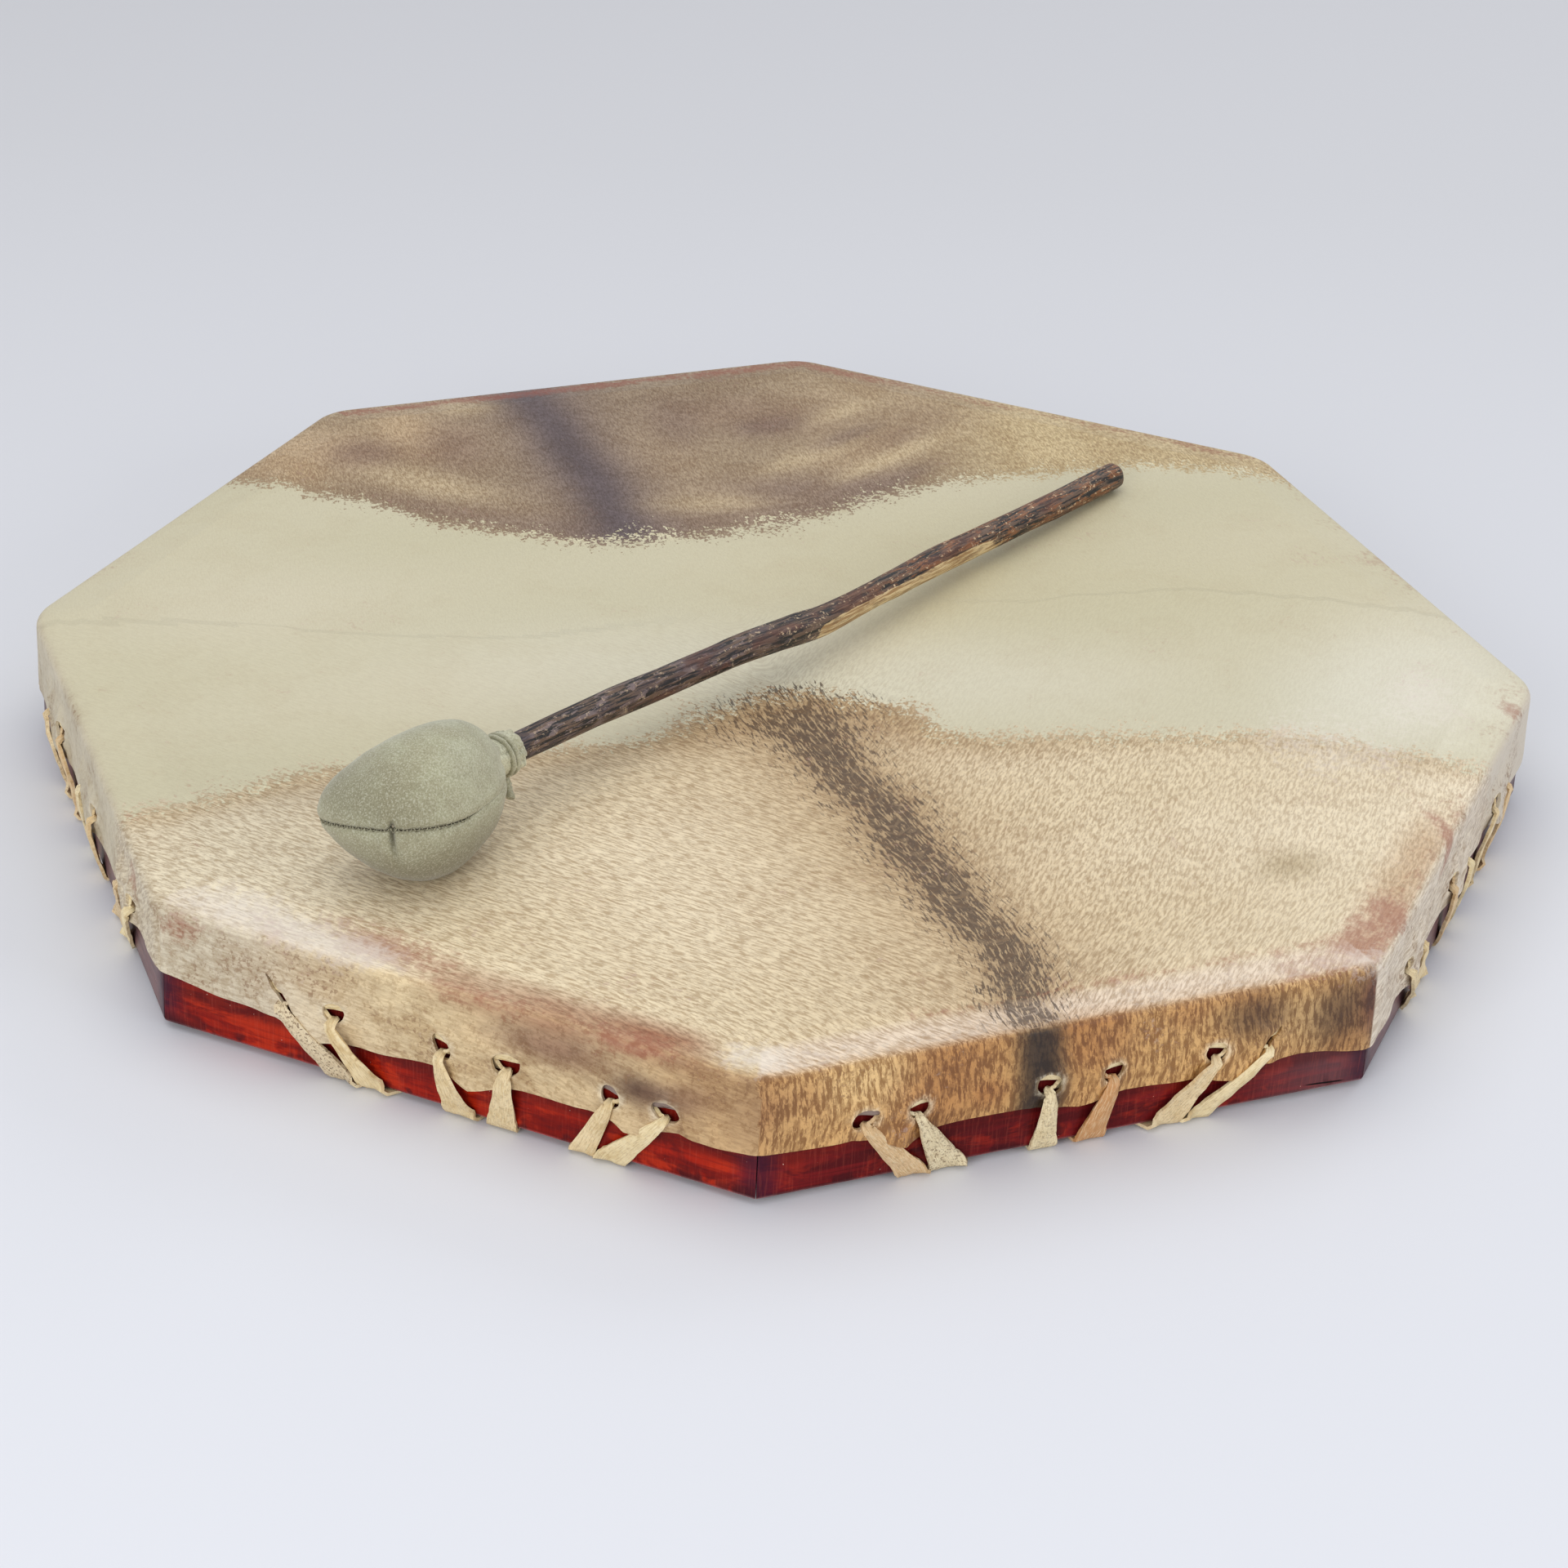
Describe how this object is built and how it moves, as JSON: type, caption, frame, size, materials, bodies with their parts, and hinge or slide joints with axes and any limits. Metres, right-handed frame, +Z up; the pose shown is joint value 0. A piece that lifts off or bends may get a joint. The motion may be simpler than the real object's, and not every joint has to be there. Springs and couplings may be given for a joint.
{
  "type": "frame drum",
  "caption": "Octagonal wooden frame drum with a laced rawhide head, an open back with bound lace spokes and a ring to hold, and a suede-headed beater lying on it.",
  "frame": {"origin": "on the floor under the middle of the drum", "axes": "+Z up out of the drum head; -Y towards the corner nearest the beater's head; the head lies flat in X and Y"},
  "size_m": [0.5484, 0.5483, 0.0986],
  "materials": {
    "stained_wood": "red-stained and oiled, worn at the edges",
    "rawhide": "scraped goat rawhide with hair marks, slightly glossy",
    "rawhide_lace": "dry rawhide strip, rough and fibrous",
    "ring_steel": "plain steel",
    "bark": "natural branch with its bark partly rubbed off",
    "wadding": "packed wadding",
    "suede": "grey-green suede"
  },
  "bodies": {
    "drum": {"frame_board_1": "stained_wood", "frame_board_2": "stained_wood", "frame_board_3": "stained_wood", "frame_board_4": "stained_wood", "frame_board_5": "stained_wood", "frame_board_6": "stained_wood", "frame_board_7": "stained_wood", "frame_board_8": "stained_wood", "rawhide_head": "rawhide", "lace_01": "rawhide_lace", "lace_02": "rawhide_lace", "lace_03": "rawhide_lace", "lace_04": "rawhide_lace", "lace_05": "rawhide_lace", "lace_06": "rawhide_lace", "lace_07": "rawhide_lace", "lace_08": "rawhide_lace", "lace_09": "rawhide_lace", "lace_10": "rawhide_lace", "lace_11": "rawhide_lace", "lace_12": "rawhide_lace", "lace_13": "rawhide_lace", "lace_14": "rawhide_lace", "lace_15": "rawhide_lace", "lace_16": "rawhide_lace", "lace_17": "rawhide_lace", "lace_18": "rawhide_lace", "lace_19": "rawhide_lace", "lace_20": "rawhide_lace", "lace_21": "rawhide_lace", "lace_22": "rawhide_lace", "lace_23": "rawhide_lace", "lace_24": "rawhide_lace", "spoke_binding_1": "rawhide_lace", "spoke_binding_2": "rawhide_lace", "spoke_binding_3": "rawhide_lace", "spoke_binding_4": "rawhide_lace", "spoke_binding_5": "rawhide_lace", "spoke_binding_6": "rawhide_lace", "spoke_binding_7": "rawhide_lace", "spoke_binding_8": "rawhide_lace", "centre_ring": "ring_steel"},
    "beater": {"beater_stick": "bark", "beater_padding": "wadding", "beater_cover_upper": "suede", "beater_cover_lower": "suede", "beater_collar": "suede", "beater_thong": "suede"}
  },
  "joints": [
    {"name": "beater_lift", "type": "slide", "parent": "drum", "child": "beater", "axis": [0, 0, 1], "range_m": [0, 0.15]}
  ]
}
